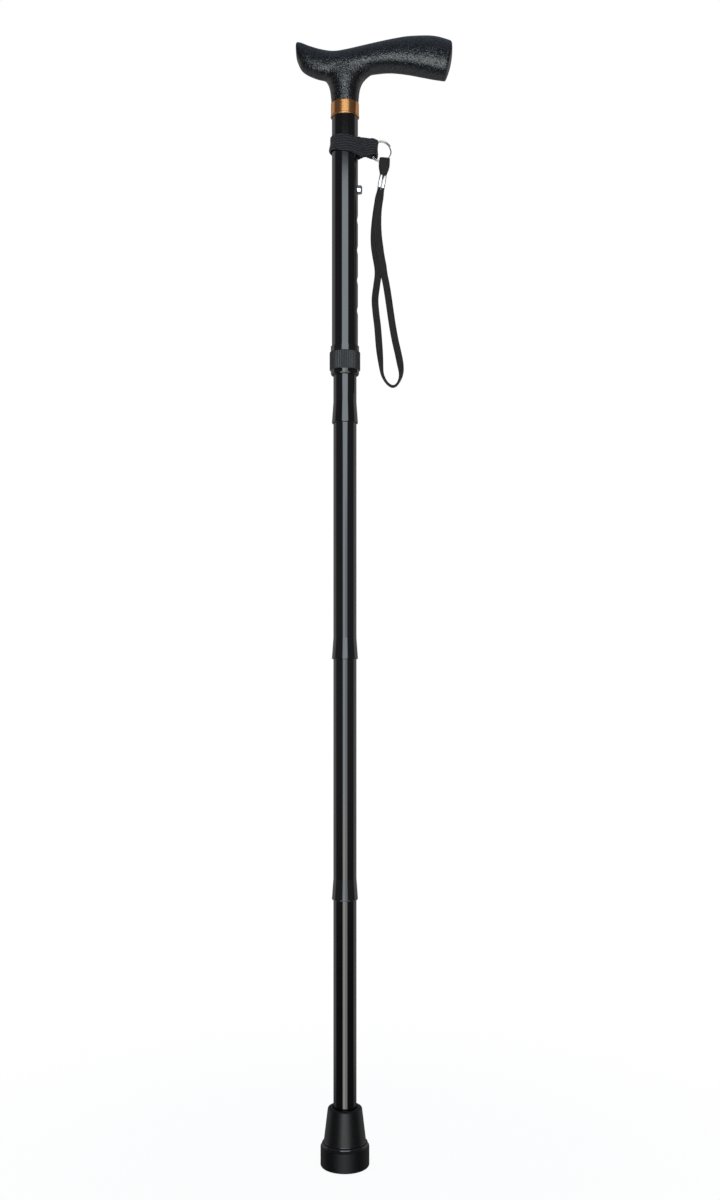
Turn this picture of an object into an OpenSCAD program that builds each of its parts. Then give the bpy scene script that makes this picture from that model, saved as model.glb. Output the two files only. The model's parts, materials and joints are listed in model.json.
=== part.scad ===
// Folding cane: a derby handle on an adjustable upper tube, three folding sections
// on an elastic cord, a rubber ferrule and a wrist strap. Millimetres, +Z up.
// The origin is the centre of the ferrule's sole, and the grip runs along X.

/* [Tubes] */
// Outside diameter of the upper tube
upper_tube_d = 22; // [20:0.5:24]
// Wall of every tube
tube_wall = 1; // [0.9:0.1:1.4]
// Radial clearance of the inner tube in the upper tube
slide_clearance = 0.25; // [0.2:0.05:0.4]
// Length of the upper tube
upper_tube_len = 213.2; // [205:0.1:240]

/* [Sections] */
// From the floor to the third flared mouth
lower_section_len = 224; // [200:1:240]
// From the third flared mouth to the second
third_section_len = 202.5; // [180:0.5:220]
// From the second flared mouth to the first
second_section_len = 198.5; // [180:0.5:220]
// Inner tube showing between the first mouth and the lock ring
inner_tube_shown = 40.5; // [35:0.5:60]

/* [Flared mouths] */
// Length of a flare
flare_len = 18; // [14:1:24]
// Wall at the rim of a flare
flare_wall = 1; // [0.8:0.1:1.2]
// Radial room round the next tube at the rim of a flare
flare_room = 0.25; // [0.2:0.01:0.3]
// Radial clearance where a tube seats in a flare
seat_clearance = 0.05; // [0.03:0.01:0.1]

/* [Joint plugs] */
// Height of the bullet nose above the mouth
nose_len = 24; // [20:1:25]
// Radius of the nose at its tip
nose_tip_r = 2.4; // [2.2:0.1:3]
// Bluntness of the nose
nose_power = 2.5; // [2:0.1:2.6]
// Radial clearance of the nose in the bore
nose_clearance = 0.25; // [0.2:0.05:0.4]
// Length of the shank in the tube
shank_len = 22; // [15:1:30]
// Radial clearance of pieces fixed in a tube
plug_fit = 0.05; // [0.03:0.01:0.1]

/* [Elastic cord] */
// Diameter of the elastic cord
cord_d = 2.8; // [2:0.1:3]
// Radial clearance of the cord in its holes
cord_clearance = 0.3; // [0.2:0.05:0.4]
// Radius of the knot at each end
knot_r = 3.2; // [2.8:0.1:3.6]
// Length of the plug that holds the upper knot
upper_anchor_len = 12; // [8:1:16]
// Length of the plug that holds the lower knot
lower_anchor_len = 16; // [13:1:24]

/* [Height adjustment] */
// Distance between two button holes
hole_pitch = 25.4; // [20:0.1:26]
// Number of button holes
hole_count = 5; // [3:1:5]
// From the top of the upper tube down to the first button hole
first_hole_drop = 72.5; // [70:0.5:80]
// Diameter of the button
button_d = 7.5; // [6:0.1:8]
// Radial clearance of the button in its holes
button_clearance = 0.3; // [0.2:0.05:0.5]
// Height of the button above the upper tube
button_proud = 3.6; // [2:0.1:5]
// Width of the clip's steel strip
clip_w = 7; // [5:0.5:8]
// Thickness of the clip's steel strip
clip_t = 0.6; // [0.5:0.05:0.8]
// Height of the clip
clip_h = 40; // [32:1:45]

/* [Lock ring] */
// Diameter over the ribs of the lock ring
lock_ring_d = 25.9; // [25:0.1:30]
// Height of the lock ring
lock_ring_h = 19.5; // [18:0.5:26]
// Height of the plain foot under the ribs
lock_foot_h = 4.3; // [3:0.1:8]
// Number of ribs
rib_count = 48; // [24:2:60]
// Depth of the grooves between the ribs
rib_depth = 0.35; // [0.2:0.05:0.5]
// Thickness of the bush's wall round the upper tube
bush_wall = 0.65; // [0.5:0.05:0.8]
// Height of the bush's visible lip
bush_lip_h = 4.8; // [3:0.1:6]
// How far the lip stands out from the bush
bush_lip_out = 0.25; // [0.1:0.05:0.4]
// Depth of the upper tube in the bush
bush_socket = 8.5; // [6:0.5:10]
// Wall of the collet
collet_wall = 1.1; // [0.9:0.05:1.2]
// Width of the slits in the collet
collet_slit = 1.2; // [0.8:0.1:2]
// Height of the slits in the collet
slit_h = 8.5; // [5:0.5:9]
// Radial running clearance of the lock ring
ring_clearance = 0.1; // [0.05:0.01:0.15]

/* [Handle] */
// Reach of the nose from the tube's axis
nose_reach = 41.4; // [35:0.1:48]
// Reach of the palm grip from the tube's axis
palm_reach = 90.5; // [80:0.5:105]
// Height of the handle above the collar
handle_h = 56.7; // [48:0.1:64]
// Greatest width of the grip
grip_w = 29.5; // [26:0.5:32]
// Radius of the neck
neck_r = 11.4; // [11.3:0.05:13]
// Width of the neck where it enters the grip
neck_top_w = 25; // [24:0.5:26]
// How far the neck flares out under the grip
neck_flare = 4.6; // [3:0.2:6]
// Radius of the domed end of the palm grip
end_dome_r = 55; // [45:1:80]
// Length of the spigot in the upper tube
spigot_len = 30; // [20:1:40]
// Length of the collar
collar_len = 12; // [10:0.5:18]
// Wall of the collar
collar_wall = 0.8; // [0.5:0.05:1]

/* [Ferrule] */
// Diameter of the sole
sole_d = 41.2; // [36:0.2:46]
// Diameter at the foot of the taper
taper_foot_d = 35.6; // [32:0.2:36]
// Diameter at the top rim
ferrule_top_d = 29.2; // [27:0.2:31]
// Height of the ferrule
ferrule_h = 49.4; // [44:0.2:60]
// Height of the wide base's side
base_h = 17.2; // [15:0.1:24]
// Rubber under the washer
sole_t = 8; // [6:0.5:10]
// Height of the sloping shoulder over the base
shoulder_h = 3; // [2:0.2:5]
// Thickness of the washer
washer_t = 1.5; // [1:0.1:2]
// Depth of the tread grooves
tread_depth = 1.5; // [1:0.1:2.5]
// Width of the tread grooves
tread_w = 2; // [1:0.1:3]
// Rounding of the top rim
rim_round = 2; // [1.5:0.1:3]
// Rounding of the edge of the sole
sole_round = 1.5; // [1:0.1:4]

/* [Wrist strap] */
// Height of the elastic band
band_h = 15.8; // [12:0.2:20]
// Thickness of the elastic webbing
band_t = 1.5; // [1:0.1:1.8]
// From the top of the upper tube down to the band
band_drop = 28.9; // [25:0.1:36]
// Reach of the tab from the tube's axis
tab_reach = 27.5; // [26:0.5:30]
// Radius of the split ring at the middle of its wire
ring_r = 8.3; // [7.8:0.1:9]
// Diameter of the ring's wire
ring_wire_d = 1; // [0.8:0.1:1.2]
// Width of the wrist loop's braid
braid_w = 5.8; // [4.5:0.1:6]
// Thickness of the wrist loop's braid
braid_t = 2; // [1.5:0.1:2.4]
// Width of the eye over the split ring
eye_w = 8.4; // [7:0.2:9]
// Length of the crimp
crimp_len = 12; // [10:0.5:12]
// Diameter of each barrel of the crimp
crimp_d = 3.1; // [2.9:0.1:3.6]

/* [Hidden] */
$fn = 64;

// A small overlap that lets a cut run clear of a face
cut = 1;

// Radii of the tubes
upper_r = upper_tube_d / 2;
upper_bore_r = upper_r - tube_wall;
fold_r = upper_bore_r - slide_clearance;
fold_bore_r = fold_r - tube_wall;
plug_r = fold_bore_r - plug_fit;

// A flare: its bore at the rim, the rounding of the rim as a share of its wall, the slope of the
// bore, and how deep the next tube seats in it
mouth_bore_r = fold_r + flare_room;
rim_share = 0.75;
flare_slope = (mouth_bore_r - fold_bore_r) / flare_len;
seat_depth = (flare_room - seat_clearance) / flare_slope;

// Heights from the floor up
tube_foot_z = sole_t + washer_t;
mouth_3_z = lower_section_len;
mouth_2_z = mouth_3_z + third_section_len;
mouth_1_z = mouth_2_z + second_section_len;
lock_ring_z = mouth_1_z + inner_tube_shown;
bush_lip_z = lock_ring_z + lock_ring_h;
upper_foot_z = bush_lip_z + bush_lip_h - bush_socket;
upper_top_z = upper_foot_z + upper_tube_len;
button_z = upper_top_z - first_hole_drop;

// The snap clip: the outside of its legs, its foot, and the top of the inner tube
clip_leg_x = sqrt(pow(fold_bore_r, 2) - pow(clip_w / 2, 2)) - plug_fit;
clip_top_over_button = 8;
clip_z = button_z + clip_top_over_button - clip_h;
clip_bend_r = 2.5;
inner_tube_over_clip = 12;
inner_top_z = clip_z + clip_h + inner_tube_over_clip;

// Where the cord is held
anchor_below_clip = 6;
upper_anchor_z = clip_z - clip_bend_r - anchor_below_clip - upper_anchor_len - 2 * knot_r;
knot_hole_r = knot_r + cord_clearance;
knot_z = tube_foot_z + knot_hole_r;
cord_hole_r = cord_d / 2 + cord_clearance;
cord_gap = 0.2;

// The bush: its radii and the floor of the socket under the upper tube
bush_r = upper_r + plug_fit + bush_wall;
bush_lip_r = bush_r + bush_lip_out;
bush_floor_t = 1.5;
collet_bore_r = fold_r + ring_clearance;
collet_r = collet_bore_r + collet_wall;
// The lock ring: its floor, and how far its plain foot steps in from the ribs and then tapers
ring_floor_t = 1.6;
foot_step = 1;
ring_chamfer = 0.6;
collet_foot_z = lock_ring_z + ring_floor_t + ring_clearance;
bush_shoulder_z = upper_foot_z - bush_floor_t;
collet_taper = 0.4;
collet_taper_h = 1.5;
// One rib and its groove: shares of the pitch, and 1 where the corner lies in the groove
RIB = [[0, 0], [0.4, 0], [0.5, 1], [0.9, 1]];

// Radii of the tread grooves, and of the hole in the washer
TREADS = [8, 14];
washer_hole_r = 3;
// The ferrule: the edge over its base, the groove at the foot of its taper, and the lead-in of its bore
edge_round = 0.8;
foot_line = 0.5;
lead_in = 1;

// Handle: control sections of the grip from the nose to the palm. Each holds its place
// along the reach, its top and its underside as shares of the handle's height above the
// collar, and its half width as a share of the grip's half width.
GRIP = [
    [-1.000, 0.888, 0.799, 0.17],
    [-0.986, 0.913, 0.679, 0.31],
    [-0.942, 0.915, 0.586, 0.42],
    [-0.870, 0.899, 0.495, 0.53],
    [-0.722, 0.853, 0.429, 0.65],
    [-0.481, 0.799, 0.374, 0.76],
    [-0.237, 0.773, 0.369, 0.83],
    [0.000, 0.794, 0.394, 0.87],
    [0.135, 0.842, 0.432, 0.90],
    [0.275, 0.893, 0.475, 0.93],
    [0.420, 0.941, 0.495, 0.96],
    [0.575, 0.986, 0.471, 0.99],
    [0.730, 1.000, 0.423, 1.00],
    [0.818, 0.996, 0.395, 0.99],
    [0.884, 0.979, 0.378, 0.97],
    [0.939, 0.954, 0.365, 0.94],
    [1.020, 0.911, 0.355, 0.90]
];
grip_steps = 3;
grip_sides = 24;
// Roundness of a section, and how high up a section its widest line runs
grip_power = 2.1;
ridge_share = 0.3;
neck_rise = 20.2;
neck_taper = 1.5;
neck_top = 27;
neck_power = 4;
neck_rings = 9;
end_dome_z = 44.3;

// Wrist strap: the ring hangs in the tab's pocket, and the eye and crimp hang from the ring
band_r = upper_r + plug_fit;
band_z = upper_top_z - band_drop - band_h;
tab_drop = 6.4;
pocket_from = 18.5;
pocket_half = 2.3;
ring_over_tab = 3.2;
ring_over_band = 4.9;
ring_x = tab_reach + ring_over_tab;
ring_z = band_z + ring_over_band;
// The ring's two turns: the gap between them, and the step of the wire from one to the other
turn_gap = 0.05;
step_angle = 50;
step_turn = 30;
step_lap = 2;
step_inset = 0.02;
// The eye hangs a little past the ring's lowest place and leans
strap_lean = 5;
strap_off = 2.7;
strap_x = ring_x + strap_off;
strap_z = ring_z - sqrt(pow(ring_r, 2) - pow(strap_off, 2));
eye_len = 12;
eye_t = 1.3;
eye_room = 2.5;
eye_rise = 2.2;
eye_foot_w = 5.6;
barrel_press = 0.15;
// Route of the wrist loop from the crimp down its left leg, round and up its right leg,
// from the point where the strap hangs on the ring: across, towards the back, and down.
LOOP = [
    [-3.3, 1.2, -24.2], [-4.4, 1.3, -29], [-5.4, 1.4, -33.4], [-6.8, 1.4, -41.8], [-7.9, 1.4, -50.2],
    [-8.7, 1.4, -58.6], [-8.9, 1.4, -66.2], [-8.5, 1.4, -73], [-7.5, 1.4, -79.7], [-6, 1.4, -88.2],
    [-5.5, 1.4, -93.2], [-5.7, 1.4, -98.3], [-6.6, 1.4, -105], [-8, 1.2, -116.8], [-7.2, 1.1, -128.6],
    [-5.8, 1, -140.4], [-4.4, 0.8, -158], [-3.2, 0.5, -170], [-2.1, 0.3, -179], [0.3, 0.1, -185],
    [3.6, 0, -189], [7.2, 0, -190.5], [10.4, -0.1, -188.8], [13, -0.2, -184], [13.9, -0.3, -179],
    [13.4, -0.5, -173], [11.7, -0.8, -164], [9, -1, -152.2], [6.8, -1.1, -140.4], [5, -1.2, -128.6],
    [3.3, -1.3, -116.8], [1.4, -1.4, -105], [0, -1.4, -98.3], [-0.8, -1.4, -93.2], [-1.5, -1.4, -88.2],
    [-3.1, -1.4, -79.7], [-4, -1.4, -73], [-4.9, -1.4, -66.2], [-5.5, -1.4, -58.6], [-5.6, -1.4, -50.2],
    [-5.2, -1.4, -41.8], [-4, -1.4, -33.4], [-3.1, -1.3, -29], [-1.9, -1.2, -24.2]
];
// The braid is pinched under the crimp, and turns its edge to the front towards its lowest place:
// heights below the ring where each starts and ends
pinch_w = 3;
PINCH = [24, 36];
TWIST = [150, 190];
braid_sides = 8;
wire_sides = 24;
step_rings = 10;
// Squareness of the braid's section
braid_power = 0.6;

// A point on a smooth curve through control points: between p1 and p2 at share t
function spline(p0, p1, p2, p3, t) =
    0.5 * (2 * p1 + (p2 - p0) * t + (2 * p0 - 5 * p1 + 4 * p2 - p3) * t * t
    + (3 * p1 - p0 - 3 * p2 + p3) * t * t * t);
function clamp_index(i, n) = min(max(i, 0), n - 1);
function smooth(points, steps) = [
    for (i = [0:len(points) - 2], k = [0:steps - 1])
        spline(points[clamp_index(i - 1, len(points))], points[i], points[i + 1],
            points[clamp_index(i + 2, len(points))], k / steps),
    points[len(points) - 1]
];

// Faces of a closed tube of rings, each with the same number of points
function tube_faces(rings, sides) = [
    for (i = [0:rings - 2], k = [0:sides - 1]) let (
        a = i * sides + k,
        b = i * sides + (k + 1) % sides
    ) each [[a, a + sides, b], [b, a + sides, b + sides]],
    for (k = [1:sides - 2]) [0, k, k + 1],
    for (k = [1:sides - 2]) let (last = (rings - 1) * sides) [last, last + k + 1, last + k]
];
function signed_power(v, p) = sign(v) * pow(abs(v), p);
function unit(v) = v / norm(v);

// A ring of the grip across X, widest at its ridge
function grip_ring(s) = let (
    x = s[0] * (s[0] < 0 ? nose_reach : palm_reach),
    top = s[1] * handle_h,
    low = s[2] * handle_h,
    half = s[3] * grip_w / 2,
    ridge = low + ridge_share * (top - low)
) [
    for (k = [0:grip_sides - 1]) let (a = 360 * (k + 0.5) / grip_sides) [
        x,
        half * signed_power(cos(a), 2 / grip_power),
        ridge + (sin(a) > 0 ? top - ridge : ridge - low) * signed_power(sin(a), 2 / grip_power)
    ]
];

// A level ring of the neck, which flares along the grip
function neck_ring(z) = let (
    share = min(z / neck_rise, 1),
    flare = neck_taper * share + neck_flare * pow(share, neck_power),
    half = neck_r + (neck_top_w / 2 - neck_r) * share
) [
    for (k = [0:grip_sides - 1]) let (a = 360 * (k + 0.5) / grip_sides)
        [(neck_r + flare) * cos(a), half * sin(a), z]
];

// A share from 0 to 1 over a range of drops, eased at both ends
function eased(range, drop) = let (t = min(max((drop - range[0]) / (range[1] - range[0]), 0), 1))
    t * t * (3 - 2 * t);

// A ring of flat braid square to a route. Its wide side lies in the XZ plane, and across it
// where the braid is twisted.
function braid_ring(p, dir) = let (
    drop = strap_z - p[2],
    turn = 90 * eased(TWIST, drop),
    half = (pinch_w + (braid_w - pinch_w) * eased(PINCH, drop)) / 2,
    flat = unit(cross([0, 1, 0], dir)),
    side = flat * cos(turn) + unit(cross(dir, flat)) * sin(turn),
    up = unit(cross(dir, side))
) [
    for (k = [0:braid_sides - 1]) let (a = 360 * (k + 0.5) / braid_sides)
        p + side * half * signed_power(cos(a), braid_power)
            + up * braid_t / 2 * signed_power(sin(a), braid_power)
];

// A ring of the wire where it steps from one turn of the split ring to the next
function step_ring(a) = let (
    wire_r = ring_wire_d / 2 - step_inset,
    offset = (ring_wire_d + turn_gap) * (eased([-step_turn / 2, step_turn / 2], a) - 0.5)
) [
    for (k = [0:wire_sides - 1]) let (b = -360 * k / wire_sides, r = ring_r + wire_r * cos(b))
        [r * cos(a), r * sin(a), offset + wire_r * sin(b)]
];

module between(z0, z1) {
    translate([0, 0, z0])
        linear_extrude(z1 - z0)
            children();
}

module rod(r, z0, z1) {
    translate([0, 0, z0])
        cylinder(r = r, h = z1 - z0);
}

module along_x(x, z) {
    translate([x, 0, z])
        rotate([0, 90, 0])
            children();
}

module grip_loft() {
    stations = smooth(GRIP, grip_steps);
    polyhedron(
        points = [for (s = stations) each grip_ring(s)],
        faces = tube_faces(len(stations), grip_sides),
        convexity = 6
    );
}

module neck_loft() {
    polyhedron(
        points = [for (i = [0:neck_rings]) each neck_ring(neck_top * i / neck_rings)],
        faces = tube_faces(neck_rings + 1, grip_sides),
        convexity = 4
    );
}

// What is cut off the palm end, outside its dome
module past_the_dome() {
    reach = end_dome_r + cut;
    difference() {
        translate([palm_reach - end_dome_r / 2, -reach, end_dome_z - reach])
            cube([reach, 2 * reach, 2 * reach]);
        translate([palm_reach - end_dome_r, 0, end_dome_z])
            sphere(r = end_dome_r);
    }
}

module handle() color("#1b1b1d") {
    translate([0, 0, upper_top_z])
        resize([nose_reach + palm_reach, grip_w, handle_h])
            union() {
                difference() {
                    grip_loft();
                    past_the_dome();
                }
                neck_loft();
            }
    rod(upper_bore_r - plug_fit, upper_top_z - spigot_len, upper_top_z + cut);
}

module handle_collar() color("#b3702f") {
    inner = upper_r + plug_fit;
    round_r = collar_wall / 2;
    low = upper_top_z - collar_len;
    rotate_extrude()
        polygon([
            [inner, upper_top_z],
            [inner, low],
            for (a = [-90:30:0])
                [inner + round_r + round_r * cos(a), low + round_r + round_r * sin(a)],
            for (a = [0:30:90])
                [inner + round_r + round_r * cos(a), upper_top_z - round_r + round_r * sin(a)]
        ]);
}

module upper_tube() color("#101014") {
    difference() {
        rod(upper_r, upper_foot_z, upper_top_z);
        rod(upper_bore_r, upper_foot_z - cut, upper_top_z + cut);
        for (i = [0:hole_count - 1])
            along_x(0, button_z - i * hole_pitch)
                cylinder(d = button_d + 2 * button_clearance, h = upper_r + cut);
    }
}

module lock_bush() color("#17171a") {
    lip_top = bush_lip_z + bush_lip_h;
    difference() {
        rotate_extrude()
            polygon([
                [collet_bore_r, collet_foot_z],
                [collet_r - collet_taper, collet_foot_z],
                [collet_r, collet_foot_z + collet_taper_h],
                [collet_r, bush_shoulder_z],
                [bush_r, bush_shoulder_z],
                [bush_r, bush_lip_z],
                [bush_lip_r, bush_lip_z],
                [bush_lip_r, lip_top],
                [upper_r + plug_fit, lip_top],
                [upper_r + plug_fit, upper_foot_z],
                [collet_bore_r, upper_foot_z]
            ]);
        for (a = [45, 135])
            rotate([0, 0, a])
                translate([-bush_lip_r - cut, -collet_slit / 2, collet_foot_z - cut])
                    cube([2 * bush_lip_r + 2 * cut, collet_slit, slit_h + cut]);
    }
}

module lock_ring() color("#202124") {
    rib_r = lock_ring_d / 2;
    foot_r = rib_r - foot_step;
    shoulder = bush_shoulder_z - ring_clearance;
    top = bush_lip_z - ring_clearance;
    difference() {
        union() {
            between(lock_ring_z + lock_foot_h, top)
                polygon([
                    for (i = [0:rib_count - 1], corner = RIB) let (
                        a = 360 * (i + corner[0]) / rib_count,
                        r = rib_r - corner[1] * rib_depth
                    ) [r * cos(a), r * sin(a)]
                ]);
            rotate_extrude()
                polygon([
                    [0, lock_ring_z],
                    [foot_r - ring_chamfer, lock_ring_z],
                    [foot_r, lock_ring_z + lock_foot_h / 3],
                    [foot_r, lock_ring_z + lock_foot_h + cut],
                    [0, lock_ring_z + lock_foot_h + cut]
                ]);
        }
        rod(fold_r + slide_clearance, lock_ring_z - cut, shoulder + cut);
        rod(collet_r + ring_clearance, lock_ring_z + ring_floor_t, shoulder + cut);
        rod(bush_r + ring_clearance, shoulder, top + cut);
    }
}

// A tube with a flared mouth at its lower end
module flared_tube(mouth, top) {
    round_r = rim_share * flare_wall;
    round_x = mouth_bore_r + flare_wall - round_r;
    rotate_extrude()
        polygon([
            [fold_bore_r, top],
            [fold_bore_r, mouth + flare_len],
            [mouth_bore_r, mouth],
            for (a = [-90:30:0])
                [round_x + round_r * cos(a), mouth + round_r + round_r * sin(a)],
            [fold_r, mouth + flare_len],
            [fold_r, top]
        ]);
}

module inner_tube() color("#101014") {
    difference() {
        flared_tube(mouth_1_z, inner_top_z);
        along_x(0, button_z)
            cylinder(d = button_d + 2 * button_clearance, h = fold_r + cut);
    }
}

module second_tube() color("#101014") {
    flared_tube(mouth_2_z, mouth_1_z + seat_depth);
}

module third_tube() color("#101014") {
    flared_tube(mouth_3_z, mouth_2_z + seat_depth);
}

module lower_tube() color("#101014") {
    difference() {
        rod(fold_r, tube_foot_z, mouth_3_z + seat_depth);
        rod(fold_bore_r, tube_foot_z - cut, mouth_3_z + seat_depth + cut);
    }
}

// One leg of the clip: a flat strip from the bend up along the wall
module clip_leg(x_foot, x_top) {
    translate([0, clip_w / 2, 0])
        rotate([90, 0, 0])
            linear_extrude(clip_w)
                polygon([
                    [x_foot, clip_z],
                    [x_foot + clip_t, clip_z],
                    [x_top + clip_t, clip_z + clip_h],
                    [x_top, clip_z + clip_h]
                ]);
}

module snap_clip() color("#c9ccd0") {
    button_r = button_d / 2;
    reach = upper_r + button_proud;
    round_r = 1.8;
    clip_leg(clip_bend_r - clip_t, clip_leg_x - clip_t);
    clip_leg(-clip_bend_r, -clip_leg_x);
    translate([0, clip_w / 2, clip_z])
        rotate([90, 0, 0])
            linear_extrude(clip_w)
                difference() {
                    circle(r = clip_bend_r);
                    circle(r = clip_bend_r - clip_t);
                    translate([-clip_bend_r - cut, 0])
                        square([2 * (clip_bend_r + cut), clip_bend_r + cut]);
                }
    along_x(0, button_z)
        rotate_extrude()
            polygon([
                [0, clip_leg_x - 2 * clip_t],
                [button_r, clip_leg_x - 2 * clip_t],
                for (a = [0:15:90])
                    [button_r - round_r + round_r * cos(a), reach - round_r + round_r * sin(a)],
                [0, reach]
            ]);
}

module upper_cord_anchor() color("#2c2c2f") {
    difference() {
        rod(plug_r, upper_anchor_z, upper_anchor_z + upper_anchor_len);
        rod(cord_hole_r, upper_anchor_z - cut, upper_anchor_z + upper_anchor_len + cut);
    }
}

module lower_cord_anchor() color("#2c2c2f") {
    difference() {
        rod(plug_r, tube_foot_z, tube_foot_z + lower_anchor_len);
        rod(cord_hole_r, tube_foot_z, tube_foot_z + lower_anchor_len + cut);
        rod(knot_hole_r, tube_foot_z - cut, knot_z + knot_hole_r);
    }
}

// A bullet-nosed plug in the top of a folding tube, with a hole for the cord
module joint_plug(mouth) color("#2c2c2f") {
    root_r = fold_bore_r - nose_clearance;
    shoulder = mouth + seat_depth;
    steps = 12;
    rotate_extrude()
        polygon([
            [cord_hole_r, shoulder - shank_len],
            [plug_r, shoulder - shank_len],
            [plug_r, shoulder],
            for (i = [0:steps]) let (h = seat_depth + (nose_len - seat_depth) * i / steps)
                [root_r - (root_r - nose_tip_r) * pow(h / nose_len, nose_power), mouth + h],
            [cord_hole_r, mouth + nose_len]
        ]);
}

// A stretch of the elastic cord
module cord(z0, z1) color("#2a2a2c") {
    rod(cord_d / 2, z0, z1);
}

module elastic_cord_1() {
    knot = upper_anchor_z + upper_anchor_len + cord_gap + knot_r;
    cord(mouth_1_z + nose_len + cord_gap, knot);
    color("#2a2a2c")
        translate([0, 0, knot])
            sphere(r = knot_r);
}

module elastic_cord_2() {
    cord(mouth_2_z + nose_len + cord_gap, mouth_1_z + nose_len);
}

module elastic_cord_3() {
    cord(mouth_3_z + nose_len + cord_gap, mouth_2_z + nose_len);
}

module elastic_cord_4() {
    cord(knot_z, mouth_3_z + nose_len);
    color("#2a2a2c")
        translate([0, 0, knot_z])
            sphere(r = knot_r);
}

// An annular groove in the sole
module tread_groove(r) {
    difference() {
        rod(r + tread_w / 2, -cut, tread_depth);
        rod(r - tread_w / 2, -2 * cut, tread_depth + cut);
    }
}

module ferrule() color("#242426") {
    sole_r = sole_d / 2;
    foot_r = taper_foot_d / 2;
    top_r = ferrule_top_d / 2;
    bore_r = fold_r + plug_fit;
    shoulder_z = base_h + shoulder_h;
    difference() {
        rotate_extrude()
            polygon([
                [0, 0],
                for (a = [-90:15:0])
                    [sole_r - sole_round + sole_round * cos(a), sole_round + sole_round * sin(a)],
                for (a = [0:15:45])
                    [sole_r - edge_round + edge_round * cos(a), base_h - edge_round + edge_round * sin(a)],
                [foot_r + foot_line, shoulder_z],
                [foot_r - foot_line, shoulder_z],
                [foot_r - foot_line, shoulder_z + foot_line],
                [foot_r, shoulder_z + 2 * foot_line],
                for (a = [15:15:90])
                    [top_r - rim_round + rim_round * cos(a), ferrule_h - rim_round + rim_round * sin(a)],
                [0, ferrule_h]
            ]);
        rod(bore_r, sole_t, ferrule_h + cut);
        translate([0, 0, ferrule_h - lead_in])
            cylinder(r1 = bore_r, r2 = bore_r + lead_in + cut, h = lead_in + cut);
        for (r = TREADS)
            tread_groove(r);
    }
}

module ferrule_washer() color("#9a9da1") {
    difference() {
        rod(fold_r, sole_t, tube_foot_z);
        rod(washer_hole_r, sole_t - cut, tube_foot_z + cut);
    }
}

module strap_band() color("#242427") {
    outer = band_r + band_t;
    pocket_r = pocket_half + band_t;
    intersection() {
        between(band_z, band_z + band_h)
            difference() {
                union() {
                    circle(r = outer);
                    translate([0, -band_t])
                        square([pocket_from, 2 * band_t]);
                    translate([pocket_from - band_t, -pocket_r])
                        square([tab_reach - pocket_from + band_t - pocket_r, 2 * pocket_r]);
                    translate([tab_reach - pocket_r, 0])
                        circle(r = pocket_r);
                }
                circle(r = band_r);
                translate([pocket_from, -pocket_half])
                    square([tab_reach - pocket_from - pocket_r, 2 * pocket_half]);
                translate([tab_reach - pocket_r, 0])
                    circle(r = pocket_half);
            }
        translate([0, outer, 0])
            rotate([90, 0, 0])
                linear_extrude(2 * outer)
                    polygon([
                        [-outer, band_z],
                        [tab_reach, band_z],
                        [tab_reach, band_z + band_h - tab_drop],
                        [pocket_from - band_t, band_z + band_h],
                        [-outer, band_z + band_h]
                    ]);
    }
}

// One wire wound into two turns, with a step where it passes from one turn to the other
module split_ring() color("#c9ccd0") {
    translate([ring_x, 0, ring_z])
        rotate([90, 0, 0]) {
            for (side = [-0.5, 0.5])
                translate([0, 0, side * (ring_wire_d + turn_gap)])
                    rotate([0, 0, step_angle + step_turn / 2])
                        rotate_extrude(angle = 360 - step_turn)
                            translate([ring_r, 0])
                                circle(d = ring_wire_d, $fn = wire_sides);
            rotate([0, 0, step_angle])
                polyhedron(
                    points = [
                        for (i = [0:step_rings])
                            each step_ring((step_turn / 2 + step_lap) * (2 * i / step_rings - 1))
                    ],
                    faces = tube_faces(step_rings + 1, wire_sides),
                    convexity = 4
                );
        }
}

// The strap's own frame: its top is where it hangs on the ring, and it leans towards the tube
module on_strap() {
    translate([strap_x, 0, strap_z])
        rotate([0, strap_lean, 0])
            children();
}

// A rod of the given radius bent along the ring, as wide as the eye or all the way round
module along_ring(r, turn) {
    translate([ring_x, 0, ring_z])
        rotate([90, 0, 0])
            rotate([0, 0, asin(strap_off / ring_r) - 90 - turn / 2])
                rotate_extrude(angle = turn)
                    translate([ring_r, 0])
                        circle(r = r);
}

// Braid folded over the ring: a sleeve round the wire, and two layers down to the crimp
module strap_eye() color("#1c1c1e") {
    difference() {
        union() {
            along_ring(eye_room / 2 + eye_t, 2 * asin(eye_w / 2 / ring_r));
            on_strap()
                translate([0, eye_t, 0])
                    rotate([90, 0, 0])
                        linear_extrude(2 * eye_t)
                            polygon([
                                [-eye_foot_w / 2, -eye_len],
                                [eye_foot_w / 2, -eye_len],
                                [eye_w / 2, -eye_len / 3],
                                [eye_w / 2, eye_rise],
                                [-eye_w / 2, -eye_t],
                                [-eye_w / 2, -eye_len / 3]
                            ]);
        }
        along_ring(eye_room / 2, 360);
    }
}

module strap_crimp() color("#c9ccd0") {
    on_strap()
        for (side = [-0.5, 0.5])
            translate([side * (crimp_d - barrel_press), 0, -eye_len - crimp_len])
                cylinder(d = crimp_d, h = crimp_len);
}

module wrist_loop() color("#1c1c1e") {
    route = smooth([for (p = LOOP) p + [strap_x, 0, strap_z]], 2);
    n = len(route);
    polyhedron(
        points = [
            for (i = [0:n - 1])
                each braid_ring(route[i], unit(route[min(i + 1, n - 1)] - route[max(i - 1, 0)]))
        ],
        faces = tube_faces(n, braid_sides),
        convexity = 8
    );
}

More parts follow.
